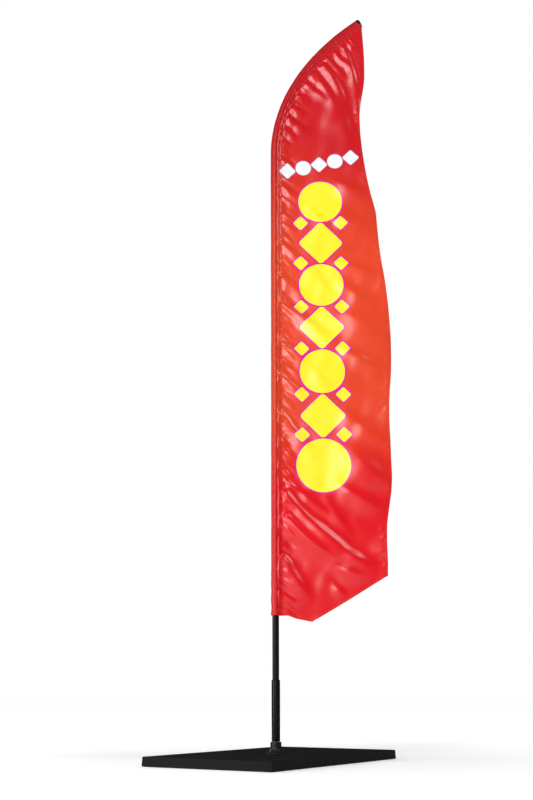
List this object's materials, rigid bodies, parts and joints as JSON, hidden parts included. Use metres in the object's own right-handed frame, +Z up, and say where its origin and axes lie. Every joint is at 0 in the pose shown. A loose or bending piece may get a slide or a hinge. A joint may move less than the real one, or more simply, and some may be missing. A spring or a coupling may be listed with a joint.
{
  "type": "feather flag with pole",
  "caption": "Feather-shaped cloth flag sleeved on a bent sectional pole, which stands in a turning tube on a flat weighted base.",
  "frame": {"origin": "centre of the base's underside, on the floor, on the pole's axis", "axes": "+Z up along the pole; the flag lies in the XZ plane and flies towards +X, its printed front facing -Y; the base's long side is turned 58.2 degrees from +X about +Z"},
  "size_m": [0.6974, 0.7878, 2.3182],
  "materials": {
    "mat_rubber": "matt, fine ribs",
    "zinc_plate": "zinc plated",
    "ballast_cast": "rough cast",
    "cover_plastic": "fine moulded texture",
    "black_plastic": "satin moulded",
    "spring_steel": "oiled",
    "bearing_steel": "polished",
    "black_alloy": "black anodised, satin",
    "glass_fibre": "drawn rod",
    "sleeve_cloth": "satin polyester, printed",
    "flag_cloth": "satin polyester, printed red to orange"
  },
  "bodies": {
    "base": {"anti_slip_mat": "mat_rubber", "base_tray": "zinc_plate", "ballast_slab": "ballast_cast", "base_cover": "cover_plastic", "cover_screw_1": "zinc_plate", "cover_screw_2": "zinc_plate", "cover_screw_3": "zinc_plate", "cover_screw_4": "zinc_plate", "cover_screw_5": "zinc_plate", "cover_screw_6": "zinc_plate", "spindle": "zinc_plate", "foot_screw_1": "zinc_plate", "foot_screw_2": "zinc_plate", "foot_screw_3": "zinc_plate", "foot_screw_4": "zinc_plate", "spindle_boss": "black_plastic", "boss_set_screw": "spring_steel", "lower_bearing_inner_ring": "bearing_steel", "upper_bearing_inner_ring": "bearing_steel", "inner_spacer": "black_plastic", "clamp_washer": "zinc_plate", "clamp_nut": "zinc_plate"},
    "rotor": {"rotor_tube": "black_alloy", "retaining_ring": "spring_steel", "lower_bearing_outer_ring": "bearing_steel", "upper_bearing_outer_ring": "bearing_steel", "lower_bearing_balls": "bearing_steel", "upper_bearing_balls": "bearing_steel", "outer_spacer": "black_plastic", "pole_stop_plug": "black_plastic", "plug_pin": "spring_steel"},
    "pole": {"pole_foot_cap": "black_plastic", "pole_lower": "black_alloy", "lower_joint_collar": "black_alloy", "pole_middle": "black_alloy", "middle_joint_collar": "black_alloy", "pole_upper": "black_alloy", "upper_joint_collar": "black_alloy", "pole_tip_rod": "glass_fibre", "tip_cap": "black_plastic", "pole_sleeve": "sleeve_cloth", "flag_panel": "flag_cloth", "trailing_hem": "flag_cloth", "lower_hem": "flag_cloth"}
  },
  "joints": [
    {"name": "swivel", "type": "hinge", "parent": "base", "child": "rotor", "pos_m": [0, 0, 0.1], "axis": [0, 0, 1], "continuous": true},
    {"name": "pole_lift", "type": "slide", "parent": "rotor", "child": "pole", "axis": [0, 0, 1], "range_m": [0, 0.1]}
  ]
}
